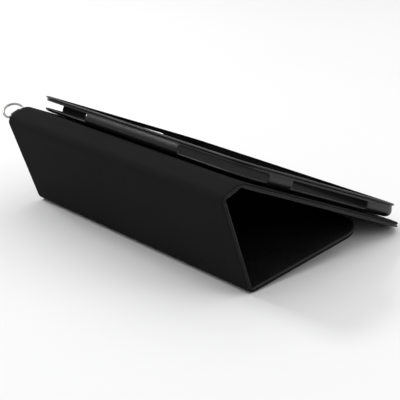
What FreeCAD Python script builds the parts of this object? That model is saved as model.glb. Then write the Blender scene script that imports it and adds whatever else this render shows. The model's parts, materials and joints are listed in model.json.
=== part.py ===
"""Rotating folio case for a tablet, folded into a low wedge-shaped stand.

The cover is a chain of four stiff panels that fold on soft creases: a base, a front leaf, a narrow
spine, and a back panel that carries the turning tray.  Every panel is drawn flat in its own frame,
X along the creases, Y along the chain from the base towards the back panel, and +Z on the lining
side.  The chain is then folded into the stand, and the whole stand is moved so that the origin lies
on the floor under the middle of its bounding box, with +Z up and +Y away from the front leaf.
"""
import FreeCAD, Part
import math
import os
import Sketcher
from FreeCAD import Placement, Rotation, Vector

doc = FreeCAD.newDocument("RotatingTabletCase")
sheet = doc.addObject("Spreadsheet::Sheet", "Sizes")

SIZES = {
    # cover, in millimetres
    "cover_length": 260,
    "back_depth": 206.4,
    "spine_depth": 17.4,
    "leaf_depth": 80.3,
    "base_depth": 125.4,
    "corner_round": 24,
    "crease_gap": 2.4,
    "skin_thick": 0.9,
    "board_thick": 1.7,
    "lining_thick": 1.4,
    "rim_width": 1.5,
    "lining_inset": 0.6,
    "no_inset": 0,
    # cover angles, in degrees
    "leaf_lean": 19.9,
    "spine_rise": 21,
    "base_rise": 7.6,
    # tray
    "pocket_length": 243.4,
    "pocket_width": 189,
    "pocket_depth": 8.9,
    "shell_thick": 1.1,
    "wrap_thick": 0.7,
    "felt_thick": 0.4,
    "lip_thick": 1.1,
    "lip_reach": 3.6,
    "lip_overhang": 0.8,
    "tray_round": 17,
    "bottom_round": 5.4,
    "tray_lift": 1.2,
    # openings in the tray's sides
    "port_low": 2.0,
    "port_high": 8.8,
    "port_round": 2.2,
    "corner_port_start": 55.6,
    "corner_port_reach": 27.7,
    "end_port_length": 93,
    "end_port_place": 4.2,
    "port_overrun": 5,
    # hub
    "hub_place": 101,
    "bearing_hole": 44,
    "bearing_bore": 38,
    "bearing_flange": 56,
    "bearing_lip": 0.8,
    "running_gap": 0.05,
    "washer_size": 54,
    "washer_thick": 0.8,
    "retainer_size": 54,
    "retainer_thick": 1.2,
    "button_size": 57,
    "button_thick": 0.8,
    "screw_circle": 26,
    "screw_size": 2.5,
    "screw_head": 4.8,
    "screw_count": 4,
    # lanyard ring
    "ring_width": 14.5,
    "ring_reach": 11,
    "ring_wire": 2.0,
    "ring_corner": 2.4,
    "ring_setback": 1.6,
    "ring_lift": 25,
    "tab_width": 8.0,
    "tab_thick": 0.7,
    "tab_tail": 14,
    # magnets in the free edge of the cover
    "magnet_length": 20,
    "magnet_width": 6,
    "magnet_pitch": 70,
    "magnet_inset": 14,
}

for row, (alias, number) in enumerate(SIZES.items(), start=1):
    sheet.set(f"A{row}", alias)
    sheet.set(f"B{row}", str(number))
    sheet.setAlias(f"B{row}", alias)
doc.recompute()

subparts = []


def size(alias):
    return float(sheet.get(alias))


def cell(alias):
    return "Sizes." + alias


PANEL_THICK = f"({cell('skin_thick')} + {cell('board_thick')} + {cell('lining_thick')})"
UNDERSIDE = f"-{PANEL_THICK} / 2"
BOARD_LOW = f"{UNDERSIDE} + {cell('skin_thick')}"
BOARD_HIGH = f"{BOARD_LOW} + {cell('board_thick')}"
SHELL_LENGTH = f"({cell('pocket_length')} + 2 * {cell('shell_thick')})"
SHELL_WIDTH = f"({cell('pocket_width')} + 2 * {cell('shell_thick')})"
TRAY_LENGTH = f"({SHELL_LENGTH} + 2 * {cell('wrap_thick')})"
TRAY_WIDTH = f"({SHELL_WIDTH} + 2 * {cell('wrap_thick')})"
POCKET_FLOOR = f"({cell('wrap_thick')} + {cell('shell_thick')})"
LIP_UNDERSIDE = f"({POCKET_FLOOR} + {cell('felt_thick')} + {cell('pocket_depth')})"

panel_half = (size("skin_thick") + size("board_thick") + size("lining_thick")) / 2


# ---------------------------------------------------------------------------------------------------
# Where each group of sub-parts stands
# ---------------------------------------------------------------------------------------------------

def chain_step(length, angle):
    """The step along a panel of the chain, in the YZ plane; the angle is in degrees from +Y."""
    return Vector(0, length * math.cos(math.radians(angle)), length * math.sin(math.radians(angle)))


leaf_angle = 90 + size("leaf_lean")
spine_angle = size("spine_rise")
base_angle = 180 + size("base_rise")
top_crease_height = (panel_half + chain_step(size("leaf_depth"), leaf_angle).z
                     + chain_step(size("spine_depth"), spine_angle).z)
back_slope = math.degrees(math.asin(top_crease_height / math.hypot(size("back_depth"), panel_half))
                          - math.atan(panel_half / size("back_depth")))
back_angle = -back_slope

floor_crease = Vector(0, 0, panel_half)
spine_crease = floor_crease + chain_step(size("leaf_depth"), leaf_angle)
top_crease = spine_crease + chain_step(size("spine_depth"), spine_angle)


def about_x(point, angle):
    return Placement(point, Rotation(Vector(1, 0, 0), angle))


BASE = about_x(floor_crease - chain_step(size("base_depth"), base_angle), base_angle)
LEAF = about_x(floor_crease, leaf_angle)
SPINE = about_x(spine_crease, spine_angle)
BACK = about_x(top_crease, back_angle)
HUB = BACK * Placement(Vector(0, size("hub_place"), 0), Rotation())
TRAY = HUB * Placement(Vector(0, 0, panel_half + size("tray_lift")), Rotation())
TAB = SPINE * Placement(
    Vector(-size("cover_length") / 2 - size("ring_setback"), size("spine_depth") / 2, 0), Rotation())
RING = TAB * Placement(Vector(), Rotation(Vector(0, 1, 0), size("ring_lift")))


# ---------------------------------------------------------------------------------------------------
# Building tools
# ---------------------------------------------------------------------------------------------------

def keep(feature, label, placement):
    """Name a finished sub-part and stand it in its place."""
    feature.Label = label
    feature.Placement = placement
    subparts.append(feature)


def bind(feature, expressions):
    for name, expression in expressions.items():
        feature.setExpression(name, expression)


def camel(label):
    return label.title().replace("_", "")


def new_body(name):
    return doc.addObject("PartDesign::Body", camel(name))


def new_sketch(body, role="XY_Plane", shift_x="0", shift_y="0", height="0"):
    """A sketch on one of the body's origin planes, moved in that plane and off it."""
    sketch = body.newObject("Sketcher::SketchObject", "Outline")
    planes = [feature for feature in body.Origin.OriginFeatures if feature.Role == role]
    sketch.AttachmentSupport = (planes[0], [""])
    sketch.MapMode = "FlatFace"
    bind(sketch, {"AttachmentOffset.Base.x": shift_x, "AttachmentOffset.Base.y": shift_y,
                  "AttachmentOffset.Base.z": height})
    return sketch


def rectangle(sketch, width, depth):
    """A rectangle that starts on the sketch's X axis and is symmetric about its Y axis."""
    corners = [Vector(-5, 0, 0), Vector(5, 0, 0), Vector(5, 8, 0), Vector(-5, 8, 0)]
    for here, there in zip(corners, corners[1:] + corners[:1]):
        sketch.addGeometry(Part.LineSegment(here, there))
    for edge in range(4):
        sketch.addConstraint(Sketcher.Constraint("Coincident", edge, 2, (edge + 1) % 4, 1))
    for edge, direction in ((1, "Vertical"), (2, "Horizontal"), (3, "Vertical")):
        sketch.addConstraint(Sketcher.Constraint(direction, edge))
    sketch.addConstraint(Sketcher.Constraint("PointOnObject", 0, 1, -1))
    sketch.addConstraint(Sketcher.Constraint("Symmetric", 0, 1, 0, 2, -2))
    across = sketch.addConstraint(Sketcher.Constraint("DistanceX", 0, 1, 0, 2, 10))
    along = sketch.addConstraint(Sketcher.Constraint("DistanceY", 1, 1, 1, 2, 8))
    sketch.setExpression(f"Constraints[{across}]", width)
    sketch.setExpression(f"Constraints[{along}]", depth)
    return sketch


def rounded_rectangle(sketch, width, depth, radius):
    """The same, with four equal round corners."""
    right, top, bend = 10, 12, 2
    lines = [(Vector(-right + bend, 0, 0), Vector(right - bend, 0, 0)),
             (Vector(right, bend, 0), Vector(right, top - bend, 0)),
             (Vector(right - bend, top, 0), Vector(-right + bend, top, 0)),
             (Vector(-right, top - bend, 0), Vector(-right, bend, 0))]
    centres = [Vector(right - bend, bend, 0), Vector(right - bend, top - bend, 0),
               Vector(-right + bend, top - bend, 0), Vector(-right + bend, bend, 0)]
    quarter = math.pi / 2
    for number in range(4):
        sketch.addGeometry(Part.LineSegment(*lines[number]))
        arc = Part.Circle(centres[number], Vector(0, 0, 1), bend)
        sketch.addGeometry(Part.ArcOfCircle(arc, (number - 1) * quarter, number * quarter))
    for edge in range(8):
        sketch.addConstraint(Sketcher.Constraint("Tangent", edge, 2, (edge + 1) % 8, 1))
    for edge, direction in ((2, "Vertical"), (4, "Horizontal"), (6, "Vertical")):
        sketch.addConstraint(Sketcher.Constraint(direction, edge))
    for arc in (3, 5, 7):
        sketch.addConstraint(Sketcher.Constraint("Equal", 1, arc))
    sketch.addConstraint(Sketcher.Constraint("PointOnObject", 0, 1, -1))
    sketch.addConstraint(Sketcher.Constraint("Symmetric", 0, 1, 0, 2, -2))
    across = sketch.addConstraint(Sketcher.Constraint("DistanceX", 6, 1, 2, 1, 2 * right))
    along = sketch.addConstraint(Sketcher.Constraint("DistanceY", 0, 1, 4, 1, top))
    bow = sketch.addConstraint(Sketcher.Constraint("Radius", 1, bend))
    sketch.setExpression(f"Constraints[{across}]", width)
    sketch.setExpression(f"Constraints[{along}]", depth)
    sketch.setExpression(f"Constraints[{bow}]", radius)
    return sketch


def circle(sketch, diameter):
    sketch.addGeometry(Part.Circle(Vector(0, 0, 0), Vector(0, 0, 1), 5))
    sketch.addConstraint(Sketcher.Constraint("Coincident", 0, 3, -1, 1))
    across = sketch.addConstraint(Sketcher.Constraint("Diameter", 0, 10))
    sketch.setExpression(f"Constraints[{across}]", diameter)
    return sketch


def pad(body, sketch, length):
    feature = body.newObject("PartDesign::Pad", "Pad")
    feature.Profile = sketch
    feature.setExpression("Length", length)
    doc.recompute()
    return feature


def pocket(body, sketch, length, reverse=False):
    """Cut away from the sketch, against its normal or, reversed, along it; it must remove something."""
    before = body.Shape.Volume
    feature = body.newObject("PartDesign::Pocket", "Pocket")
    feature.Profile = sketch
    feature.Reversed = reverse
    feature.setExpression("Length", length)
    doc.recompute()
    if not body.Shape.Volume < before:
        raise RuntimeError(f"{body.Name}: a pocket removed nothing")
    return feature


def fillet(body, wanted, radius):
    """Round the edges of the body's tip that the test picks."""
    base = body.Tip
    edges = [f"Edge{n}" for n, edge in enumerate(base.Shape.Edges, start=1) if wanted(edge)]
    feature = body.newObject("PartDesign::Fillet", "Fillet")
    feature.Base = (base, edges)
    feature.setExpression("Radius", radius)
    doc.recompute()
    return feature


def is_upright(edge):
    first, last = edge.Vertexes[0].Point, edge.Vertexes[-1].Point
    return abs(first.x - last.x) < 1e-6 and abs(first.y - last.y) < 1e-6


def lies_at(height):
    def test(edge):
        return abs(edge.BoundBox.ZMin - height) < 1e-6 and abs(edge.BoundBox.ZMax - height) < 1e-6
    return test


def cylinder(name, diameter, height, low):
    feature = doc.addObject("Part::Cylinder", name)
    bind(feature, {"Radius": f"({diameter}) / 2", "Height": height, "Placement.Base.z": low})
    return feature


def combine(kind, name, base, tool):
    """Part::Cut or Part::Fuse of two objects."""
    feature = doc.addObject(kind, name)
    feature.Base = base
    feature.Tool = tool
    return feature


# ---------------------------------------------------------------------------------------------------
# Cover panels
# ---------------------------------------------------------------------------------------------------

class Panel:
    """One stiff panel of the cover, with a free edge at one end or the crease it folds on at its far end."""

    def __init__(self, name, placement, free_end=None, crease=None):
        self.name = name
        self.alias = name + "_depth"
        self.placement = placement
        self.free_end = free_end
        self.crease = crease

    def outline(self, inset):
        """Width, start and depth of the plate, as expressions, drawn in from the outline by an inset."""
        near = "0" if self.free_end == "near" else cell("crease_gap")
        far = "0" if self.free_end == "far" else cell("crease_gap")
        width = f"{cell('cover_length')} - 2 * {inset}"
        start = f"{near} + {inset}"
        depth = f"{cell(self.alias)} - {near} - {far} - 2 * {inset}"
        return width, start, depth

    def corner_at(self, inset):
        """A test for the upright edges at the free end's corners, drawn in by an inset."""
        side = size("cover_length") / 2 - inset
        end = inset if self.free_end == "near" else size(self.alias) - inset

        def test(edge):
            point = edge.Vertexes[0].Point
            return is_upright(edge) and math.hypot(abs(point.x) - side, point.y - end) < 1e-6

        return test

    def slab(self, layer, inset, low, thick):
        """A flat slab of this panel's outline with square corners."""
        body = new_body(f"{self.name}_{layer}")
        width, start, depth = self.outline(cell(inset))
        pad(body, rectangle(new_sketch(body, shift_y=start, height=low), width, depth), thick)
        return body

    def round_corners(self, body, inset):
        if self.free_end:
            fillet(body, self.corner_at(size(inset)), f"{cell('corner_round')} - {cell(inset)}")


PANELS = [
    Panel("back", BACK, free_end="far"),
    Panel("spine", SPINE, crease="top_crease"),
    Panel("leaf", LEAF, crease="spine_crease"),
    Panel("base", BASE, free_end="near", crease="floor_crease"),
]


def cut_round_hole(body, diameter):
    sketch = circle(new_sketch(body, shift_y=cell("hub_place"), height=PANEL_THICK), cell(diameter))
    pocket(body, sketch, f"2 * {PANEL_THICK}")


def cut_hub_hole(body):
    cut_round_hole(body, "bearing_hole")


def cut_bearing_seat(body):
    """A wider hole in the lining, which lets the bearing's inner flange lie on the board."""
    cut_round_hole(body, "bearing_flange")


def cut_tab_notch(body):
    """Let the ring's tab into the left end of the spine, between the skin and the lining."""
    tail = f"2 * {cell('tab_tail')}"
    sketch = new_sketch(body, shift_x=f"-{cell('cover_length')} / 2",
                        shift_y=f"({cell('spine_depth')} - {cell('tab_width')}) / 2", height=BOARD_HIGH)
    pocket(body, rectangle(sketch, tail, cell("tab_width")), cell("board_thick"))


def cut_magnet_slots(body):
    for place in (-1, 0, 1):
        sketch = new_sketch(body, shift_x=f"{place} * {cell('magnet_pitch')}",
                            shift_y=cell("magnet_inset"), height=BOARD_HIGH)
        pocket(body, rectangle(sketch, cell("magnet_length"), cell("magnet_width")), cell("board_thick"))


EXTRA_CUTS = {
    "back_skin": cut_hub_hole,
    "back_board": cut_hub_hole,
    "back_lining": cut_bearing_seat,
    "spine_skin": cut_tab_notch,
    "spine_board": cut_tab_notch,
    "base_board": cut_magnet_slots,
}


def make_skin(panel):
    """Outer leather: a shallow pan whose turned edge hides the edge of the board."""
    skin = panel.slab("skin", "no_inset", UNDERSIDE, f"{cell('skin_thick')} + {cell('board_thick')}")
    width, start, depth = panel.outline(cell("rim_width"))
    sketch = rectangle(new_sketch(skin, shift_y=start, height=BOARD_HIGH), width, depth)
    pocket(skin, sketch, cell("board_thick"))
    panel.round_corners(skin, "rim_width")
    panel.round_corners(skin, "no_inset")
    return skin


def make_flat_layer(panel, layer, inset, low, thick):
    body = panel.slab(layer, inset, low, thick)
    panel.round_corners(body, inset)
    return body


def make_panel(panel):
    board = make_flat_layer(panel, "board", "rim_width", BOARD_LOW, cell("board_thick"))
    lining = make_flat_layer(panel, "lining", "lining_inset", BOARD_HIGH, cell("lining_thick"))
    for layer, body in (("skin", make_skin(panel)), ("board", board), ("lining", lining)):
        label = f"{panel.name}_{layer}"
        if label in EXTRA_CUTS:
            EXTRA_CUTS[label](body)
        keep(body, label, panel.placement)


def make_crease(panel):
    """A soft crease: the skin and lining alone, rolled round the line on which the next panel folds."""
    length = f"({cell('cover_length')} - 2 * {cell('rim_width')})"
    depth = cell(panel.alias)
    roll = cylinder("CreaseRoll", PANEL_THICK, length, "0")
    roll.Placement.Rotation = Rotation(Vector(0, 1, 0), 90)
    neck = doc.addObject("Part::Box", "CreaseNeck")
    bind(neck, {"Length": length, "Width": cell("crease_gap"), "Height": PANEL_THICK,
                "Placement.Base.y": f"{depth} - {cell('crease_gap')}", "Placement.Base.z": UNDERSIDE})
    for piece in (roll, neck):
        piece.setExpression("Placement.Base.x", f"-{length} / 2")
    bind(roll, {"Placement.Base.y": depth})
    keep(combine("Part::Fuse", camel(panel.crease), roll, neck), panel.crease, panel.placement)


def make_magnets():
    """Flat magnets in the free edge of the cover, which hold it shut and hold the stand."""
    magnets = []
    for place in (-1, 0, 1):
        magnet = doc.addObject("Part::Box", "Magnet")
        bind(magnet, {"Length": cell("magnet_length"), "Width": cell("magnet_width"),
                      "Height": cell("board_thick"),
                      "Placement.Base.x": f"{place} * {cell('magnet_pitch')} - {cell('magnet_length')} / 2",
                      "Placement.Base.y": cell("magnet_inset"), "Placement.Base.z": BOARD_LOW})
        magnets.append(magnet)
    group = doc.addObject("Part::Compound", "Magnets")
    group.Links = magnets
    keep(group, "edge_magnets", BASE)


# ---------------------------------------------------------------------------------------------------
# Tray
# ---------------------------------------------------------------------------------------------------

def make_dish(name, length, width, low, top, corner, bottom, wall):
    """A dish with rounded corners and a rounded bottom edge, open at the top."""
    body = new_body(name)
    sketch = new_sketch(body, shift_y=f"-({width}) / 2", height=low)
    pad(body, rectangle(sketch, length, width), f"{top} - ({low})")
    fillet(body, is_upright, corner)
    fillet(body, lies_at(body.Shape.BoundBox.ZMin), bottom)
    solid = body.Tip
    top_faces = [f"Face{n}" for n, face in enumerate(solid.Shape.Faces, start=1)
                 if face.BoundBox.ZLength < 1e-6 and face.BoundBox.ZMin > 1]
    hollow = body.newObject("PartDesign::Thickness", "Hollow")
    hollow.Base = (solid, top_faces)
    hollow.Reversed = True
    hollow.Join = "Intersection"
    hollow.setExpression("Value", wall)
    doc.recompute()
    return body


def cut_port(body, plane, place, length, start, outward):
    """One window in the tray's side, cut outward from a sketch that stands inside the tray."""
    sketch = new_sketch(body, plane, shift_x=place, shift_y=cell("port_low"), height=start)
    height = f"{cell('port_high')} - {cell('port_low')}"
    rounded_rectangle(sketch, length, height, cell("port_round"))
    pocket(body, sketch, f"{cell('tray_round')} + {cell('port_overrun')}", reverse=outward)


def cut_ports(body):
    """Windows for the tablet's ports: one round each near corner and one in each short side."""
    half_length = f"({TRAY_LENGTH} / 2)"
    half_width = f"({TRAY_WIDTH} / 2)"
    overrun = cell("port_overrun")
    side_length = f"({half_length} + {overrun} - {cell('corner_port_start')})"
    side_place = f"({cell('corner_port_start')} + {side_length} / 2)"
    reach_length = f"({cell('corner_port_reach')} + {overrun})"
    reach_place = f"({cell('corner_port_reach')} - {reach_length} / 2 - {half_width})"
    for side, along_normal in ((1, True), (-1, False)):
        start = f"{side} * ({half_length} - {cell('tray_round')})"
        cut_port(body, "XZ_Plane", f"{side} * {side_place}", side_length,
                 f"{half_width} - {cell('tray_round')}", True)
        cut_port(body, "YZ_Plane", reach_place, reach_length, start, along_normal)
        cut_port(body, "YZ_Plane", cell("end_port_place"), cell("end_port_length"), start, along_normal)


def make_tray_wrap():
    wrap = make_dish("tray_wrap", TRAY_LENGTH, TRAY_WIDTH, "0", LIP_UNDERSIDE, cell("tray_round"),
                     cell("bottom_round"), cell("wrap_thick"))
    cut_ports(wrap)
    keep(wrap, "tray_wrap", TRAY)


def make_tray_shell():
    shell = make_dish("tray_shell", SHELL_LENGTH, SHELL_WIDTH, cell("wrap_thick"), LIP_UNDERSIDE,
                      f"{cell('tray_round')} - {cell('wrap_thick')}",
                      f"{cell('bottom_round')} - {cell('wrap_thick')}", cell("shell_thick"))
    cut_ports(shell)
    keep(shell, "tray_shell", TRAY)


def centred_plate(name, inset, low, thick):
    """A plate of the tray's outline, drawn in by an inset."""
    body = new_body(name)
    width = f"{TRAY_WIDTH} - 2 * ({inset})"
    sketch = new_sketch(body, shift_y=f"-({width}) / 2", height=low)
    rounded_rectangle(sketch, f"{TRAY_LENGTH} - 2 * ({inset})", width, f"{cell('tray_round')} - ({inset})")
    pad(body, sketch, thick)
    return body


def make_tray_felt():
    """Soft sheet on the pocket's floor, inside the rounding of the bottom edge."""
    inset = f"{cell('bottom_round')} + {cell('felt_thick')}"
    keep(centred_plate("tray_felt", inset, POCKET_FLOOR, cell("felt_thick")), "tray_felt", TRAY)


def make_lip_frame():
    """The flat frame that holds the tablet in the tray by its edges."""
    body = centred_plate("lip_frame", f"-{cell('lip_overhang')}", LIP_UNDERSIDE, cell("lip_thick"))
    reach = cell("lip_reach")
    width = f"{TRAY_WIDTH} - 2 * {reach}"
    sketch = new_sketch(body, shift_y=f"-({width}) / 2", height=f"{LIP_UNDERSIDE} + {cell('lip_thick')}")
    rounded_rectangle(sketch, f"{TRAY_LENGTH} - 2 * {reach}", width, f"{cell('tray_round')} - {reach}")
    pocket(body, sketch, cell("lip_thick"))
    keep(body, "lip_frame", TRAY)


# ---------------------------------------------------------------------------------------------------
# Hub
# ---------------------------------------------------------------------------------------------------

FLANGE_LOW = f"({BOARD_HIGH} + {cell('bearing_lip')} + {cell('running_gap')} + {cell('washer_thick')})"
RETAINER_TOP = f"(-{PANEL_THICK} / 2 - {cell('bearing_lip')} - {cell('running_gap')})"
RETAINER_LOW = f"({RETAINER_TOP} - {cell('retainer_thick')})"
TRAY_BOTTOM = f"({PANEL_THICK} / 2 + {cell('tray_lift')})"


BORE = cell("bearing_bore")
SPINDLE = f"({BORE} - 2 * {cell('running_gap')})"


def disc(name, diameter, low, high):
    return cylinder(name, diameter, f"({high}) - ({low})", low)


def make_bearing_ring():
    """The flanged ring that lines the hole in the back panel; the hub turns in it."""
    sleeve = disc("Sleeve", cell("bearing_hole"), UNDERSIDE, BOARD_HIGH)
    inner = disc("InnerFlange", cell("bearing_flange"), BOARD_HIGH, f"{BOARD_HIGH} + {cell('bearing_lip')}")
    outer = disc("OuterFlange", cell("bearing_flange"), f"{UNDERSIDE} - {cell('bearing_lip')}", UNDERSIDE)
    solid = doc.addObject("Part::MultiFuse", "BearingSolid")
    solid.Shapes = [sleeve, inner, outer]
    solid.Refine = True
    bore = cylinder("BearingBore", BORE, f"4 * {PANEL_THICK}", f"-2 * {PANEL_THICK}")
    ring = combine("Part::Cut", "BearingRing", solid, bore)
    keep(ring, "bearing_ring", BACK * Placement(Vector(0, size("hub_place"), 0), Rotation()))


def make_screws():
    """Countersunk screws, in the hub's own frame, from the retainer up to the tray."""
    head_height = f"({cell('screw_head')} - {cell('screw_size')}) / 2"
    screws = []
    for number in range(int(size("screw_count"))):
        turn = f"(45 + {number} * 360 / {cell('screw_count')})"
        place = {"Placement.Base.x": f"{cell('screw_circle')} / 2 * cos({turn})",
                 "Placement.Base.y": f"{cell('screw_circle')} / 2 * sin({turn})",
                 "Placement.Base.z": RETAINER_LOW}
        head = doc.addObject("Part::Cone", "ScrewHead")
        bind(head, {"Radius1": f"{cell('screw_head')} / 2", "Radius2": f"{cell('screw_size')} / 2",
                    "Height": head_height, **place})
        shank = cylinder("ScrewShank", cell("screw_size"), f"{TRAY_BOTTOM} - {RETAINER_LOW}", "0")
        bind(shank, place)
        screws.append(combine("Part::Fuse", "Screw", head, shank))
    group = doc.addObject("Part::Compound", "Screws")
    group.Links = screws
    return group


def make_hub():
    """What turns in the bearing ring with the tray, from the tray down to the button outside."""
    screws = make_screws()
    flange = disc("HubFlangeDisc", cell("bearing_flange"), FLANGE_LOW, TRAY_BOTTOM)
    spindle = disc("HubSpindleDisc", SPINDLE, RETAINER_TOP, FLANGE_LOW)
    retainer = disc("HubRetainerDisc", cell("retainer_size"), RETAINER_LOW, RETAINER_TOP)
    for label, solid in (("hub_flange", flange), ("hub_spindle", spindle), ("hub_retainer", retainer)):
        keep(combine("Part::Cut", camel(label), solid, screws), label, HUB)

    screw_set = doc.addObject("Part::Compound", "ScrewSet")
    screw_set.Links = [screws]
    keep(screw_set, "hub_screws", HUB)

    washer = disc("WasherDisc", cell("washer_size"), f"{FLANGE_LOW} - {cell('washer_thick')}", FLANGE_LOW)
    washer_bore = disc("WasherBore", SPINDLE, RETAINER_LOW, TRAY_BOTTOM)
    keep(combine("Part::Cut", "FrictionWasher", washer, washer_bore), "friction_washer", HUB)

    button = new_body("hub_button")
    sketch = circle(new_sketch(button, height=f"{RETAINER_LOW} - {cell('button_thick')}"),
                    cell("button_size"))
    pad(button, sketch, cell("button_thick"))
    fillet(button, lies_at(button.Shape.BoundBox.ZMin), f"{cell('button_thick')} / 2")
    keep(button, "hub_button", HUB)


# ---------------------------------------------------------------------------------------------------
# Lanyard ring
# ---------------------------------------------------------------------------------------------------

def ring_path():
    """Centre line of the D: a straight bar along Y at x = 0, two legs and a half circle."""
    half = (size("ring_width") + size("ring_wire")) / 2
    corner = size("ring_corner")
    leg_end = half - size("ring_reach")
    slant = corner * (1 - math.sqrt(0.5))
    upper = [Vector(0, half - corner, 0), Vector(-slant, half - slant, 0), Vector(-corner, half, 0)]
    lower = [Vector(point.x, -point.y, 0) for point in reversed(upper)]
    bow = [Vector(leg_end, half, 0), Vector(leg_end - half, 0, 0), Vector(leg_end, -half, 0)]
    edges = [
        Part.LineSegment(lower[-1], upper[0]),
        Part.Arc(*upper),
        Part.LineSegment(upper[-1], bow[0]),
        Part.Arc(*bow),
        Part.LineSegment(bow[-1], lower[0]),
        Part.Arc(*lower),
    ]
    return Part.Wire([edge.toShape() for edge in edges])


def make_ring():
    path = ring_path()
    start = path.OrderedVertexes[0].Point
    section = Part.Wire([Part.Circle(start, Vector(0, 1, 0), size("ring_wire") / 2).toShape()])
    ring = doc.addObject("Part::Feature", "LanyardRing")
    ring.Shape = path.makePipeShell([section], True, False)
    keep(ring, "lanyard_ring", RING)


def make_ring_tab():
    """The loop that holds the ring's bar, with a flat tail glued between the spine's layers."""
    play = cell("running_gap")
    bore_size = f"({cell('ring_wire')} + 4 * {play})"
    half_width = f"{cell('tab_width')} / 2"
    loop = cylinder("TabLoop", f"{bore_size} + 2 * {cell('tab_thick')}", cell("tab_width"), "0")
    bore = cylinder("TabBore", bore_size, f"2 * {cell('tab_width')}", "0")
    for roller, start in ((loop, half_width), (bore, cell("tab_width"))):
        roller.Placement.Rotation = Rotation(Vector(1, 0, 0), 90)
        roller.setExpression("Placement.Base.y", start)
    tail = doc.addObject("Part::Box", "TabTail")
    bind(tail, {"Length": f"{cell('ring_setback')} + {cell('tab_tail')}", "Width": cell("tab_width"),
                "Height": cell("board_thick"), "Placement.Base.y": f"-{half_width}",
                "Placement.Base.z": BOARD_LOW})
    tab = combine("Part::Cut", "RingTab", combine("Part::Fuse", "TabSolid", loop, tail), bore)
    keep(tab, "ring_tab", TAB)


# ---------------------------------------------------------------------------------------------------
# The whole case
# ---------------------------------------------------------------------------------------------------

for panel in PANELS:
    make_panel(panel)
    if panel.crease:
        make_crease(panel)
make_magnets()
make_tray_wrap()
make_tray_shell()
make_tray_felt()
make_lip_frame()
make_bearing_ring()
make_hub()
make_ring()
make_ring_tab()

doc.recompute()
for feature in doc.Objects:
    if "Invalid" in feature.State or "Error" in feature.State:
        raise RuntimeError(f"{feature.Label} did not build: {feature.State}")
for feature in subparts:
    if feature.Shape.isNull() or not feature.Shape.isValid():
        raise RuntimeError(f"{feature.Label} has no valid shape")

stand = Part.Compound([feature.Shape for feature in subparts]).optimalBoundingBox()
to_origin = Placement(Vector(-stand.Center.x, -stand.Center.y, -stand.ZMin), Rotation())
for feature in subparts:
    feature.Placement = to_origin * feature.Placement

os.makedirs("parts", exist_ok=True)
for feature in subparts:
    feature.Shape.exportStep(os.path.join("parts", feature.Label + ".step"))
    box = feature.Shape.BoundBox
    print(f"{feature.Label:16s} {feature.Shape.Volume:10.1f} mm3 {len(feature.Shape.Solids)} solid(s)"
          f"  z {box.ZMin:7.2f} to {box.ZMax:7.2f}")

for name, frame in (("floor crease", LEAF), ("spine crease", SPINE), ("top crease", BACK),
                    ("hub", HUB), ("ring", RING)):
    base = to_origin.multVec(frame.Base)
    axis = frame.Rotation.multVec(Vector(0, 0, 1))
    print(f"{name:12s} at {base.x:8.3f} {base.y:8.3f} {base.z:8.3f}"
          f"  its Z {axis.x:7.4f} {axis.y:7.4f} {axis.z:7.4f}")
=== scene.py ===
"""Looks of a rotating tablet case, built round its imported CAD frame.

The cover is one strip, leather outside and lining inside, that runs from the base's free edge over
the floor fold, the front leaf, the spine fold, the spine and the top fold to the back panel's free
edge.  It is lofted over cross-sections called rungs.  The tray is a leather-covered dish with windows
that turns on the back panel.  Sizes are in metres; the ones named here repeat the CAD model's.
"""
import json
import math

import bmesh
import bpy
from mathutils import Matrix, Vector


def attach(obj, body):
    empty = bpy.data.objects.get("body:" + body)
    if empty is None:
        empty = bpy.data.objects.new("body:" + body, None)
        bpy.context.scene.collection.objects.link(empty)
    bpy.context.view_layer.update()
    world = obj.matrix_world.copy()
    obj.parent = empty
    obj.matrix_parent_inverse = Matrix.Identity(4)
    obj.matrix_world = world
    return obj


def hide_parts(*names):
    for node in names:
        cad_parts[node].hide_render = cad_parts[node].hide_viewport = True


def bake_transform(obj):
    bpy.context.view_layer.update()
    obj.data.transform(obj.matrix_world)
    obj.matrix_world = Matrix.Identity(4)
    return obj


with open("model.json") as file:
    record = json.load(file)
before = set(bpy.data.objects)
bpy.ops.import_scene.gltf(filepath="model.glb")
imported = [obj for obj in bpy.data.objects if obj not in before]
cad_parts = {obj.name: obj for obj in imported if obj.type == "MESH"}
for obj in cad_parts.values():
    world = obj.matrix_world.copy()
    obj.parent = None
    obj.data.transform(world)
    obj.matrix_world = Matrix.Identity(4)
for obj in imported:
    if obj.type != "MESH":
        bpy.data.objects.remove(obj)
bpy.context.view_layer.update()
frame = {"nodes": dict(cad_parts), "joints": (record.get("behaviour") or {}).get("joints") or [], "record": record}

MM = 0.001
SMOOTH_LIMIT = math.radians(38)

# cover
COVER_HALF = 130.0 * MM
BACK_DEPTH = 206.4 * MM
BASE_DEPTH = 125.4 * MM
BASE_RISE = math.radians(7.6)
CORNER_ROUND = 24.0 * MM
PANEL_HALF = 2.0 * MM
FOLD_REACH = 4.5 * MM       # how far from a fold's axis the cover starts to bend
FOLD_LAP = 2.0 * MM         # flat part of a fold strip beyond its bend
FOLD_PINCH = 0.35           # share by which the leather thins in the middle of a bend
FOLD_STEPS = 12
CORNER_STEPS = 10

# hub
BEARING_HOLE = 22.0 * MM
BEARING_SEAT = 28.0 * MM

# tray
TRAY_LIFT = 1.2 * MM
TRAY_LENGTH = 247.0 * MM
TRAY_WIDTH = 192.6 * MM
TRAY_ROUND = 17.0 * MM
TRAY_WALL = 1.3 * MM

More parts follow.
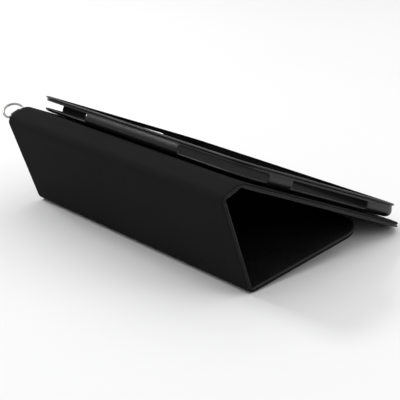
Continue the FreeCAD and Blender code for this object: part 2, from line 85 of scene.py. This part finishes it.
joints = {joint["name"]: joint for joint in frame["joints"]}
floor_fold = Vector(joints["floor_fold"]["pos_m"])
spine_fold = Vector(joints["spine_fold"]["pos_m"])
top_fold = Vector(joints["top_fold"]["pos_m"])
hub_centre = Vector(joints["tray_swivel"]["pos_m"])
back_normal = Vector(joints["tray_swivel"]["axis"]).normalized()
ring_pivot = Vector(joints["ring_swing"]["pos_m"])

RIGHT = Vector((1, 0, 0))


# ---------------------------------------------------------------------------------------------------
# Materials
# ---------------------------------------------------------------------------------------------------

class Paint:
    """A node material under construction: the shader, and helpers that feed it procedural detail."""

    def __init__(self, name, color, roughness, **constants):
        self.material = bpy.data.materials.new(name)
        self.material.use_nodes = True
        self.nodes = self.material.node_tree.nodes
        self.links = self.material.node_tree.links
        self.shader = self.nodes["Principled BSDF"]
        self.shader.inputs["Base Color"].default_value = (*color, 1)
        self.shader.inputs["Roughness"].default_value = roughness
        for socket, value in constants.items():
            self.shader.inputs[socket.replace("_", " ")].default_value = value
        self.place = self.nodes.new("ShaderNodeTexCoord").outputs["Object"]
        self.height = None

    def noise(self, scale, detail=3, roughness=0.5, stretch=(1, 1, 1)):
        """Cloudy noise; the scale is in features per metre."""
        mapping = self.nodes.new("ShaderNodeMapping")
        mapping.inputs["Scale"].default_value = stretch
        self.links.new(self.place, mapping.inputs["Vector"])
        texture = self.nodes.new("ShaderNodeTexNoise")
        texture.inputs["Scale"].default_value = scale
        texture.inputs["Detail"].default_value = detail
        texture.inputs["Roughness"].default_value = roughness
        self.links.new(mapping.outputs["Vector"], texture.inputs["Vector"])
        return texture.outputs["Fac"]

    def pebbles(self, scale, wander=0.4):
        """Small raised cells with creases between them, like grained leather."""
        shift = self.nodes.new("ShaderNodeTexNoise")
        shift.inputs["Scale"].default_value = scale * wander
        self.links.new(self.place, shift.inputs["Vector"])
        mix = self.nodes.new("ShaderNodeVectorMath")
        mix.operation = "MULTIPLY_ADD"
        self.links.new(shift.outputs["Color"], mix.inputs[0])
        mix.inputs[1].default_value = (0.6 / scale,) * 3
        self.links.new(self.place, mix.inputs[2])
        cells = self.nodes.new("ShaderNodeTexVoronoi")
        cells.feature = "SMOOTH_F1"
        cells.inputs["Scale"].default_value = scale
        cells.inputs["Smoothness"].default_value = 0.6
        self.links.new(mix.outputs["Vector"], cells.inputs["Vector"])
        return self.spread(cells.outputs["Distance"], 0.1, 0.7, 1.0, 0.0)

    def spread(self, value, from_low, from_high, to_low, to_high):
        node = self.nodes.new("ShaderNodeMapRange")
        for socket, number in (("From Min", from_low), ("From Max", from_high),
                               ("To Min", to_low), ("To Max", to_high)):
            node.inputs[socket].default_value = number
        self.links.new(value, node.inputs["Value"])
        return node.outputs["Result"]

    def tint(self, value, low, high):
        """Colour that goes from one shade to another as the value goes from 0.3 to 0.7."""
        ramp = self.nodes.new("ShaderNodeValToRGB")
        ramp.color_ramp.elements[0].position = 0.3
        ramp.color_ramp.elements[0].color = (*low, 1)
        ramp.color_ramp.elements[1].position = 0.7
        ramp.color_ramp.elements[1].color = (*high, 1)
        self.links.new(value, ramp.inputs["Fac"])
        self.links.new(ramp.outputs["Color"], self.shader.inputs["Base Color"])

    def gloss(self, value, low, high):
        self.links.new(self.spread(value, 0.3, 0.7, low, high), self.shader.inputs["Roughness"])

    def bump(self, value, depth, strength=1.0):
        """Raise the surface by up to a depth in metres; several bumps are stacked."""
        node = self.nodes.new("ShaderNodeBump")
        node.inputs["Strength"].default_value = strength
        node.inputs["Distance"].default_value = depth
        self.links.new(value, node.inputs["Height"])
        if self.height:
            self.links.new(self.height, node.inputs["Normal"])
        self.height = node.outputs["Normal"]
        self.links.new(self.height, self.shader.inputs["Normal"])


def make_outer_leather():
    paint = Paint("outer_leather", (0.006, 0.006, 0.007), 0.5, Specular_IOR_Level=0.22)
    paint.tint(paint.noise(35), (0.005, 0.005, 0.006), (0.008, 0.008, 0.009))
    paint.gloss(paint.noise(90), 0.42, 0.58)
    paint.bump(paint.noise(55, detail=4), 0.25 * MM, 0.35)
    paint.bump(paint.pebbles(850), 0.09 * MM, 0.8)
    return paint.material


def make_tray_leather():
    paint = Paint("tray_leather", (0.007, 0.007, 0.008), 0.34, Specular_IOR_Level=0.32)
    paint.tint(paint.noise(40), (0.005, 0.005, 0.006), (0.009, 0.0085, 0.010))
    paint.gloss(paint.noise(120), 0.27, 0.40)
    paint.bump(paint.noise(70, detail=5, stretch=(1, 1, 2)), 0.3 * MM, 0.3)
    paint.bump(paint.pebbles(1100), 0.06 * MM, 0.7)
    return paint.material


def make_lining():
    paint = Paint("lining", (0.0075, 0.0075, 0.0075), 0.9, Specular_IOR_Level=0.10)
    paint.tint(paint.noise(14, detail=5, roughness=0.6),
               (0.0063, 0.0063, 0.0061), (0.0086, 0.0083, 0.0088))
    paint.bump(paint.noise(2600, detail=2), 0.05 * MM, 0.5)
    paint.bump(paint.noise(500, stretch=(1, 3, 3)), 0.05 * MM, 0.35)
    return paint.material


def make_felt():
    paint = Paint("felt", (0.005, 0.005, 0.005), 0.95, Specular_IOR_Level=0.04)
    paint.tint(paint.noise(60, detail=6, roughness=0.7), (0.0035, 0.0035, 0.0035), (0.0065, 0.0065, 0.0065))
    paint.bump(paint.noise(1500, detail=4, roughness=0.7), 0.12 * MM, 0.6)
    return paint.material


def make_plastic(name, color, low, high):
    paint = Paint(name, color, 0.5, Specular_IOR_Level=0.45)
    paint.tint(paint.noise(25), tuple(0.9 * c for c in color), tuple(1.12 * c for c in color))
    paint.gloss(paint.noise(300, detail=2), low, high)
    paint.bump(paint.noise(1800, detail=2), 0.02 * MM, 0.5)
    return paint.material


def make_metal(name, color, low, high):
    paint = Paint(name, color, 0.2, Metallic=1.0)
    paint.gloss(paint.noise(400, stretch=(1, 6, 1)), low, high)
    paint.bump(paint.noise(1500, stretch=(1, 8, 1)), 0.01 * MM, 0.3)
    return paint.material


def make_board():
    paint = Paint("stiff_board", (0.30, 0.28, 0.25), 0.9, Specular_IOR_Level=0.2)
    paint.tint(paint.noise(700, detail=5, roughness=0.7), (0.22, 0.21, 0.19), (0.38, 0.36, 0.32))
    paint.bump(paint.noise(900, detail=4), 0.05 * MM, 0.5)
    return paint.material


def make_floor_paint():
    paint = Paint("floor", (0.78, 0.78, 0.78), 0.65, Specular_IOR_Level=0.2)
    paint.tint(paint.noise(3), (0.775, 0.775, 0.78), (0.785, 0.785, 0.785))
    return paint.material


outer_leather = make_outer_leather()
tray_leather = make_tray_leather()
lining = make_lining()
felt = make_felt()
hub_plastic = make_plastic("hub_plastic", (0.010, 0.010, 0.011), 0.42, 0.55)
washer_plastic = make_plastic("washer_plastic", (0.55, 0.55, 0.53), 0.35, 0.45)
ring_metal = make_metal("ring_metal", (0.36, 0.36, 0.35), 0.18, 0.32)
steel = make_metal("steel", (0.52, 0.52, 0.53), 0.28, 0.42)
board = make_board()


# ---------------------------------------------------------------------------------------------------
# Mesh tools
# ---------------------------------------------------------------------------------------------------

def shade(mesh):
    """Smooth shading that keeps the true edges crisp."""
    bmesh.ops.recalc_face_normals(mesh, faces=mesh.faces)
    for face in mesh.faces:
        face.smooth = True
    for edge in mesh.edges:
        edge.smooth = edge.calc_face_angle(0) < SMOOTH_LIMIT


def finish_mesh(name, mesh, materials):
    """Turn a bmesh into an object in the scene."""
    shade(mesh)
    data = bpy.data.meshes.new(name)
    mesh.to_mesh(data)
    mesh.free()
    piece = bpy.data.objects.new(name, data)
    for material in materials:
        data.materials.append(material)
    bpy.context.scene.collection.objects.link(piece)
    return piece


def frame_at(origin, along, across=RIGHT):
    """A frame whose X runs across, Y along, and Z off the surface."""
    off = across.cross(along)
    return Matrix.Translation(origin) @ Matrix((across, along, off)).transposed().to_4x4()


def span(count):
    """Evenly spaced numbers from 0 to 1, both included."""
    return [k / count for k in range(count + 1)]


# ---------------------------------------------------------------------------------------------------
# Cover
# ---------------------------------------------------------------------------------------------------

class Rung:
    """One cross-section of the cover, left and right alike.

    The edge is the right-hand end of the cover in this frame, as (across, along), and inward is the
    direction that leads from it into the panel.
    """

    def __init__(self, place, edge=(COVER_HALF, 0.0), inward=(-1.0, 0.0), pinch=0.0):
        self.place = place
        self.edge = edge
        self.inward = inward
        self.pinch = pinch

    def point(self, side, inset, height):
        across = side * (self.edge[0] + inset * self.inward[0])
        along = self.edge[1] + inset * self.inward[1]
        if height < 0:
            height *= 1 - self.pinch
        return self.place @ Vector((across, along, height))


def mm_pairs(*pairs):
    return [(inset * MM, height * MM) for inset, height in pairs]


# closed cross-sections near the right-hand edge: distance in from the edge, height off the mid-plane
LEATHER_SECTION = mm_pairs(
    (6.0, -2.00), (1.5, -2.00), (0.75, -1.92), (0.22, -1.62), (0.0, -1.20), (0.06, -0.80),
    (0.36, -0.48), (0.78, -0.32), (0.86, 0.20), (0.95, 0.50), (1.35, 0.50), (1.40, 0.10),
    (1.40, -1.00), (1.6, -1.11), (6.0, -1.11))
LINING_SECTION = mm_pairs(
    (6.0, 2.00), (1.6, 2.00), (0.95, 1.93), (0.52, 1.70), (0.35, 1.38), (0.44, 1.05), (0.75, 0.78),
    (1.2, 0.64), (6.0, 0.64))


def loft(name, rungs, section, material, start_rim=False, end_rim=False):
    """Sweep a section over the rungs; an end is a flat cut or, on a free edge, the same rolled rim."""
    mesh = bmesh.new()
    loops = []
    for rung in rungs:
        right = [mesh.verts.new(rung.point(1, inset, height)) for inset, height in section]
        left = [mesh.verts.new(rung.point(-1, inset, height)) for inset, height in section]
        loops.append(right + left[::-1])
    count = 2 * len(section)
    for here, there in zip(loops, loops[1:]):
        for k in range(count):
            after = (k + 1) % count
            mesh.faces.new((here[k], here[after], there[after], there[k]))
    for loop, rim in ((loops[0], start_rim), (loops[-1], end_rim)):
        if rim:
            for k in range(len(section) - 1):
                mesh.faces.new((loop[k], loop[k + 1], loop[count - 2 - k], loop[count - 1 - k]))
        else:
            mesh.faces.new(loop)
    return finish_mesh(name, mesh, [material])


def corner_rungs(place, depth, facing):
    """Rungs round the free corners, from the end's straight edge to the sides (facing -1) or back."""
    rungs = []
    centre = CORNER_ROUND if facing < 0 else depth - CORNER_ROUND
    for share in span(CORNER_STEPS):
        turn = share * math.pi / 2
        outward = (math.sin(turn), facing * math.cos(turn))
        edge = (COVER_HALF - CORNER_ROUND + CORNER_ROUND * outward[0], centre + CORNER_ROUND * outward[1])
        rungs.append(Rung(place, edge, (-outward[0], -outward[1])))
    return rungs if facing < 0 else rungs[::-1]


def straight_rung(place, along):
    return Rung(place, (COVER_HALF, along))


def fold_rungs(fold, before, after):
    """Rungs of one fold strip: a flat lap, the bend about the fold's inner side, and a flat lap."""
    bend = before.angle(after)
    radius = FOLD_REACH / math.tan(bend / 2)
    start = fold - before * FOLD_REACH
    first = frame_at(start, before)
    centre = start - first.col[2].to_3d() * radius
    rungs = [Rung(frame_at(start - before * FOLD_LAP, before))]
    for share in span(FOLD_STEPS):
        turn = Matrix.Rotation(-share * bend, 4, RIGHT)
        place = Matrix.Translation(centre) @ turn @ Matrix.Translation(-centre) @ first
        rungs.append(Rung(place, pinch=FOLD_PINCH * math.sin(share * math.pi)))
    rungs.append(Rung(frame_at(fold + after * (FOLD_REACH + FOLD_LAP), after)))
    return rungs


base_along = Vector((0, -math.cos(BASE_RISE), -math.sin(BASE_RISE)))
leaf_along = (spine_fold - floor_fold).normalized()
spine_along = (top_fold - spine_fold).normalized()
back_along = Vector((0, back_normal.z, -back_normal.y))

BASE = frame_at(floor_fold - base_along * BASE_DEPTH, base_along)
LEAF = frame_at(floor_fold, leaf_along)
SPINE = frame_at(spine_fold, spine_along)
BACK = frame_at(top_fold, back_along)


def cut_hub_hole(piece, radius):
    """Cut a round hole through a layer of the back panel, where the hub's bearing sits."""
    mesh = bmesh.new()
    right_through = mm_pairs((0, -8), (0, 8))
    columns, _ = ring_sweep(mesh, HUB, circle_outline(radius), right_through)
    for row in (0, -1):
        mesh.faces.new([column[row] for column in columns])
    cutter = finish_mesh("hole_cutter", mesh, [])
    change = piece.modifiers.new("Hole", "BOOLEAN")
    change.operation = "DIFFERENCE"
    change.object = cutter
    cut = piece.evaluated_get(bpy.context.evaluated_depsgraph_get())
    mesh = bmesh.new()
    mesh.from_mesh(cut.to_mesh())
    piece.modifiers.remove(change)
    bpy.data.objects.remove(cutter)
    shade(mesh)
    mesh.to_mesh(piece.data)
    mesh.free()


def make_panel(name, rungs, **rims):
    """One stiff panel's outer leather and lining, which ride on its body."""
    body = "back_panel" if name == "back" else name
    leather = loft(f"{name}_leather", rungs, LEATHER_SECTION, outer_leather, **rims)
    cloth = loft(f"{name}_lining_cloth", rungs, LINING_SECTION, lining, **rims)
    if name == "back":
        cut_hub_hole(leather, BEARING_HOLE)
        cut_hub_hole(cloth, BEARING_SEAT)
    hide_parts(f"{name}_skin")
    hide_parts(f"{name}_lining")
    for piece, slot in ((leather, "outer_leather"), (cloth, "lining")):
        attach(piece, body)


def make_fold(name, fold, before, after):
    """The soft strip over a fold, built in the bent shape it has between the two panels."""
    rungs = fold_rungs(fold, before, after)
    leather = loft(f"{name}_fold_leather", rungs, LEATHER_SECTION, outer_leather)
    cloth = loft(f"{name}_fold_cloth", rungs, LINING_SECTION, lining)
    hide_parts(f"{name}_crease")
    for piece, slot in ((leather, "outer_leather"), (cloth, "lining")):
        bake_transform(piece)


def make_cover():
    lap = FOLD_REACH + FOLD_LAP
    leaf_depth = (spine_fold - floor_fold).length
    spine_depth = (top_fold - spine_fold).length
    make_panel("base", corner_rungs(BASE, BASE_DEPTH, -1) + [straight_rung(BASE, BASE_DEPTH - lap)],
               start_rim=True)
    make_panel("leaf", [straight_rung(LEAF, lap), straight_rung(LEAF, leaf_depth - lap)])
    make_panel("spine", [straight_rung(SPINE, lap), straight_rung(SPINE, spine_depth - lap)])
    make_panel("back", [straight_rung(BACK, lap)] + corner_rungs(BACK, BACK_DEPTH, 1), end_rim=True)
    make_fold("floor", floor_fold, base_along, leaf_along)
    make_fold("spine", spine_fold, leaf_along, spine_along)
    make_fold("top", top_fold, spine_along, back_along)


# ---------------------------------------------------------------------------------------------------
# Tray
# ---------------------------------------------------------------------------------------------------

TRAY = frame_at(hub_centre + back_normal * (PANEL_HALF + TRAY_LIFT), back_along)

# windows: spans along the near side and the short sides, from the tray's middle
CORNER_WINDOW_START = 55.6 * MM
CORNER_WINDOW_END = -68.6 * MM
END_WINDOW = (-42.3 * MM, 50.7 * MM)
TRAY_CORNER_STEPS = 6


def side_stops(low, high, marks):
    """Places along a straight side: its ends, the marks, and a support on each side of every mark."""
    support = 3.0 * MM
    wanted = [low, high] + marks + [mark + step for mark in marks for step in (-support, support)]
    return sorted(place for place in wanted if low - MM < place < high + MM)


def right_half_outline():
    """The tray's right half from the middle of the near side: (x, y, outward x, outward y)."""
    half_length = TRAY_LENGTH / 2
    half_width = TRAY_WIDTH / 2
    flat_x = half_length - TRAY_ROUND
    flat_y = half_width - TRAY_ROUND
    near = [(x, -half_width, 0, -1) for x in side_stops(0, flat_x, [CORNER_WINDOW_START])]
    near.insert(-1, ((CORNER_WINDOW_START + flat_x) / 2, -half_width, 0, -1))
    near.sort(key=lambda stop: stop[0])
    marks = [CORNER_WINDOW_END, *END_WINDOW]
    side = [(half_length, y, 1, 0) for y in side_stops(-flat_y, flat_y, marks)]
    far = [(x, half_width, 0, 1) for x in (flat_x, flat_x / 2, 0)]

    def corner(centre_y, start_turn):
        stops = []
        for share in span(TRAY_CORNER_STEPS)[1:-1]:
            turn = start_turn + share * math.pi / 2
            out = (math.cos(turn), math.sin(turn))
            stops.append((flat_x + TRAY_ROUND * out[0], centre_y + TRAY_ROUND * out[1], *out))
        return stops

    return near + corner(-flat_y, -math.pi / 2) + side + corner(flat_y, 0) + far


def whole_outline(half):
    """Mirror a right half, whose first and last stops lie on the middle line, into a closed outline."""
    mirrored = [(-x, y, -out_x, out_y) for x, y, out_x, out_y in half[-2:0:-1]]
    return half + mirrored


def in_window(stop):
    x, y = abs(stop[0]), stop[1]
    tiny = 0.01 * MM
    round_corner = y < CORNER_WINDOW_END + tiny and x > CORNER_WINDOW_START - tiny
    on_short_side = x > TRAY_LENGTH / 2 - tiny
    return round_corner or (on_short_side and END_WINDOW[0] - tiny < y < END_WINDOW[1] + tiny)


def window_between(here, there):
    """Two neighbouring stops bound a window cell when both lie in the same window."""
    same = (here[1] < CORNER_WINDOW_END + MM) == (there[1] < CORNER_WINDOW_END + MM)
    return in_window(here) and in_window(there) and same


def ring_sweep(mesh, place, outline, section, close=False):
    """Sweep a section round a closed outline; returns the columns of vertices."""
    columns = []
    for x, y, out_x, out_y in outline:
        columns.append([mesh.verts.new(place @ Vector((x - inset * out_x, y - inset * out_y, height)))
                        for inset, height in section])
    rows = len(section) if close else len(section) - 1
    faces = {}
    for k, column in enumerate(columns):
        after = columns[(k + 1) % len(columns)]
        for row in range(rows):
            up = (row + 1) % len(section)
            faces[k, row] = mesh.faces.new((column[row], after[row], after[up], column[up]))
    return columns, faces


# the tray's outer surface, from its flat bottom over a lip that stands out a little to the lip's inner edge
TRAY_SECTION = mm_pairs(
    (26.0, 0.0), (9.0, 0.0), (5.6, 0.0), (3.3, 0.45), (1.3, 1.9), (0.35, 3.5), (0.0, 5.0), (0.25, 6.9),
    (0.8, 8.6), (1.1, 9.6), (0.95, 10.2), (0.2, 10.65), (-0.45, 11.0), (-0.5, 11.3), (-0.1, 11.75),
    (0.6, 12.12), (1.3, 12.22), (2.6, 12.2), (3.4, 12.1), (3.6, 11.8))
WINDOW_ROWS = range(4, 8)   # the strips of the section that a window takes out


def make_tray():
    """The leather-covered dish, with its windows cut out and a soft lip that turns inwards."""
    mesh = bmesh.new()
    outline = whole_outline(right_half_outline())
    columns, faces = ring_sweep(mesh, TRAY, outline, TRAY_SECTION)
    mesh.faces.new([column[0] for column in columns])
    cut = [face for (k, row), face in faces.items()
           if row in WINDOW_ROWS and window_between(outline[k], outline[(k + 1) % len(outline)])]
    bmesh.ops.delete(mesh, geom=cut, context="FACES")
    tray = finish_mesh("tray_cover", mesh, [tray_leather, felt])
    wall = tray.modifiers.new("Wall", "SOLIDIFY")
    wall.thickness = TRAY_WALL
    wall.offset = -1
    wall.material_offset = 1
    smooth = tray.modifiers.new("Smooth", "SUBSURF")
    smooth.levels = 2
    smooth.render_levels = 2
    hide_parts("tray_wrap", "tray_shell", "lip_frame")
    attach(tray, "tray")


def make_felt_sheet():
    """Soft sheet glued to the tray's floor."""
    mesh = bmesh.new()
    outline = whole_outline(right_half_outline())
    section = mm_pairs((7.0, 1.25), (5.9, 1.3), (5.8, 1.7), (5.95, 2.05), (6.5, 2.2), (9.0, 2.2))
    columns, _ = ring_sweep(mesh, TRAY, outline, section)
    for row in (0, -1):
        mesh.faces.new([column[row] for column in columns])
    sheet = finish_mesh("tray_felt_sheet", mesh, [felt])
    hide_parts("tray_felt")
    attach(sheet, "tray")


# ---------------------------------------------------------------------------------------------------
# Hub
# ---------------------------------------------------------------------------------------------------

HUB = frame_at(hub_centre, back_along)
HUB_STEPS = 96
CAP_RADIUS = 28.5 * MM
WELD_DISTANCE = 0.001 * MM


def circle_outline(radius):
    stops = []
    for k in range(HUB_STEPS):
        turn = 2 * math.pi * k / HUB_STEPS
        out = (math.cos(turn), math.sin(turn))
        stops.append((radius * out[0], radius * out[1], *out))
    return stops


def make_hub_button():
    """The round cap on the outside of the back panel: a plastic rim round a leather disc."""
    rim = mm_pairs((2.0, -4.05), (0.3, -4.07), (0.0, -4.3), (0.06, -4.6), (0.35, -4.8), (0.8, -4.85),
                   (2.6, -4.82), (3.0, -4.7), (3.15, -4.45))
    disc = mm_pairs((3.15, -4.45), (3.3, -4.65), (3.8, -4.75), (8.0, -4.8))
    mesh = bmesh.new()
    columns, _ = ring_sweep(mesh, HUB, circle_outline(CAP_RADIUS), rim)
    mesh.faces.new([column[0] for column in columns])
    middle, inner_faces = ring_sweep(mesh, HUB, circle_outline(CAP_RADIUS), disc)
    cap = mesh.faces.new([column[-1] for column in middle])
    for face in [cap, *inner_faces.values()]:
        face.material_index = 1
    bmesh.ops.remove_doubles(mesh, verts=mesh.verts, dist=WELD_DISTANCE)
    button = finish_mesh("hub_cap", mesh, [hub_plastic, outer_leather])
    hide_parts("hub_button")
    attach(button, "tray")


# ---------------------------------------------------------------------------------------------------
# Lanyard ring
# ---------------------------------------------------------------------------------------------------

RING_WIRE = 1.0 * MM        # radius of the wire
RING_HALF = 8.25 * MM       # from the ring's middle to the centre of a leg
RING_REACH = 11.0 * MM
RING_CORNER = 2.4 * MM
RING_LIFT = math.radians(25)
STRAP_HALF = 4.0 * MM
STRAP_THICKNESS = 0.7 * MM
STRAP_LOOP = 1.45 * MM      # radius of the strap's loop round the ring's bar
STRAP_START = 0.42 * math.pi
STRAP_TURN = 1.16 * math.pi
STRAP_STEPS = 10
STRAP_FRAME = frame_at(ring_pivot, spine_along)
RING_FRAME = STRAP_FRAME @ Matrix.Rotation(RING_LIFT, 4, "Y")


def arc_points(centre, radius, first, last, steps):
    """Points on an arc in the ring's plane; the angles are in quarter turns from +X."""
    points = []
    for share in span(steps):
        turn = (first + (last - first) * share) * math.pi / 2
        points.append(Vector((centre[0] + radius * math.cos(turn), centre[1] + radius * math.sin(turn), 0)))
    return points


def tube(name, path, radius, material, sides=20):
    """A round wire along a closed path that lies in the XY plane of the ring's frame."""
    mesh = bmesh.new()
    rings = []
    for k, point in enumerate(path):
        ahead = (path[(k + 1) % len(path)] - path[k - 1]).normalized()
        beside = ahead.cross(Vector((0, 0, 1)))
        ring = []
        for side in range(sides):
            turn = 2 * math.pi * side / sides
            offset = beside * math.cos(turn) + Vector((0, 0, 1)) * math.sin(turn)
            ring.append(mesh.verts.new(RING_FRAME @ (point + offset * radius)))
        rings.append(ring)
    for k, ring in enumerate(rings):
        after = rings[(k + 1) % len(rings)]
        for side in range(sides):
            up = (side + 1) % sides
            mesh.faces.new((ring[side], after[side], after[up], ring[up]))
    return finish_mesh(name, mesh, [material])


def make_ring():
    bend = RING_HALF - RING_CORNER
    bow = RING_HALF - RING_REACH
    path = arc_points((-RING_CORNER, bend), RING_CORNER, 0, 1, 8)
    path += arc_points((bow, 0), RING_HALF, 1, 3, 40)
    path += arc_points((-RING_CORNER, -bend), RING_CORNER, 3, 4, 8)
    ring = tube("lanyard_d_ring", path, RING_WIRE, ring_metal)
    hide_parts("lanyard_ring")
    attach(ring, "ring")


def make_ring_strap():
    """The leather strap that passes round the ring's bar and into the end of the spine."""
    path = mm_pairs((5.0, 0.55), (2.6, 0.75), (1.2, 1.25))
    for share in span(STRAP_STEPS):
        turn = STRAP_START + share * STRAP_TURN
        path.append((STRAP_LOOP * math.cos(turn), STRAP_LOOP * math.sin(turn)))
    path += mm_pairs((1.2, -1.1), (2.6, -0.5), (5.0, -0.3))
    mesh = bmesh.new()
    rows = []
    for inward, off in path:
        rows.append([mesh.verts.new(STRAP_FRAME @ Vector((inward, side * STRAP_HALF, off)))
                     for side in (-1, -0.5, 0, 0.5, 1)])
    for here, there in zip(rows, rows[1:]):
        for k in range(len(here) - 1):
            mesh.faces.new((here[k], here[k + 1], there[k + 1], there[k]))
    strap = finish_mesh("ring_strap", mesh, [outer_leather])
    body = strap.modifiers.new("Body", "SOLIDIFY")
    body.thickness = STRAP_THICKNESS
    body.offset = 0
    edge = strap.modifiers.new("Edge", "BEVEL")
    edge.width = 0.2 * MM
    edge.segments = 3
    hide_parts("ring_tab")
    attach(strap, "spine")


# ---------------------------------------------------------------------------------------------------
# Carried-over nodes, floor, light and camera
# ---------------------------------------------------------------------------------------------------

def paint_nodes():
    """Give each CAD node that stays its own material."""
    by_slot = {"outer_leather": outer_leather, "lining": lining, "stiff_board": board,
               "tray_leather": tray_leather, "tray_plastic": hub_plastic, "felt": felt,
               "hub_plastic": hub_plastic, "washer_plastic": washer_plastic, "steel": steel,
               "ring_metal": ring_metal}
    for part in frame["record"]["subparts"]:
        node = frame["nodes"][part["node"]]
        node.data.materials.clear()
        node.data.materials.append(by_slot[part["material_slot"]])


FLOOR_REACH = 6.0


def make_floor():
    mesh = bmesh.new()
    corners = [(x * FLOOR_REACH, y * FLOOR_REACH) for x, y in ((-1, -1), (1, -1), (1, 1), (-1, 1))]
    mesh.faces.new([mesh.verts.new((x, y, 0)) for x, y in corners])
    finish_mesh("floor", mesh, [make_floor_paint()])


def add_light(name, place, target, size, power):
    light = bpy.data.lights.new(name, "AREA")
    light.shape = "RECTANGLE"
    light.size, light.size_y = size
    light.energy = power
    lamp = bpy.data.objects.new(name, light)
    lamp.location = place
    lamp.rotation_euler = (Vector(target) - Vector(place)).to_track_quat("-Z", "Y").to_euler()
    bpy.context.scene.collection.objects.link(lamp)


# the surroundings brighten between two heights of the view direction, as sines of the angle above level
HORIZON_HEIGHT = 0.1
SKY_HEIGHT = 0.7
HORIZON_LIGHT = 0.26
SKY_LIGHT = 0.98


def make_lights():
    """A studio that is darker near the horizon, with three soft boxes."""
    world = bpy.data.worlds.new("studio")
    world.use_nodes = True
    nodes, links = world.node_tree.nodes, world.node_tree.links
    direction = nodes.new("ShaderNodeTexCoord")
    split = nodes.new("ShaderNodeSeparateXYZ")
    brightness = nodes.new("ShaderNodeMapRange")
    for socket, number in (("From Min", HORIZON_HEIGHT), ("From Max", SKY_HEIGHT),
                           ("To Min", HORIZON_LIGHT), ("To Max", SKY_LIGHT)):
        brightness.inputs[socket].default_value = number
    links.new(direction.outputs["Generated"], split.inputs["Vector"])
    links.new(split.outputs["Z"], brightness.inputs["Value"])
    links.new(brightness.outputs["Result"], nodes["Background"].inputs["Strength"])
    nodes["Background"].inputs["Color"].default_value = (1, 1, 1, 1)
    bpy.context.scene.world = world
    add_light("overhead", (-0.3, 0.7, 1.6), (-0.3, 0.6, 0), (2.6, 2.0), 6)
    add_light("left", (-1.4, -0.52, 1.46), (0, 0, 0.05), (0.6, 0.3), 16)
    add_light("right", (1.6, 0.9, 0.7), (0.2, 0.1, 0), (1.0, 0.9), 8)


# the camera stands off the cover's front right corner on the floor, with its lens in millimetres
CAMERA_OFFSET = Vector((474.2, -475.37, 319.33)) * MM
CAMERA_AZIMUTH = math.radians(47.99)
CAMERA_PITCH = math.radians(20.36)
CAMERA_LENS = 95.2
CAMERA_SENSOR = 36


def make_camera():
    """A long lens from the right of the front leaf, a little above the case."""
    data = bpy.data.cameras.new("camera")
    data.sensor_width = CAMERA_SENSOR
    data.lens = CAMERA_LENS
    camera = bpy.data.objects.new("camera", data)
    corner = Vector((floor_fold.x + COVER_HALF, floor_fold.y, 0))
    camera.location = corner + CAMERA_OFFSET
    camera.rotation_euler = (math.pi / 2 - CAMERA_PITCH, 0, CAMERA_AZIMUTH)
    bpy.context.scene.collection.objects.link(camera)
    bpy.context.scene.camera = camera


make_cover()
make_tray()
make_felt_sheet()
make_hub_button()
make_ring()
make_ring_strap()
paint_nodes()
make_floor()
make_lights()
make_camera()
bpy.context.scene.view_settings.view_transform = "Standard"
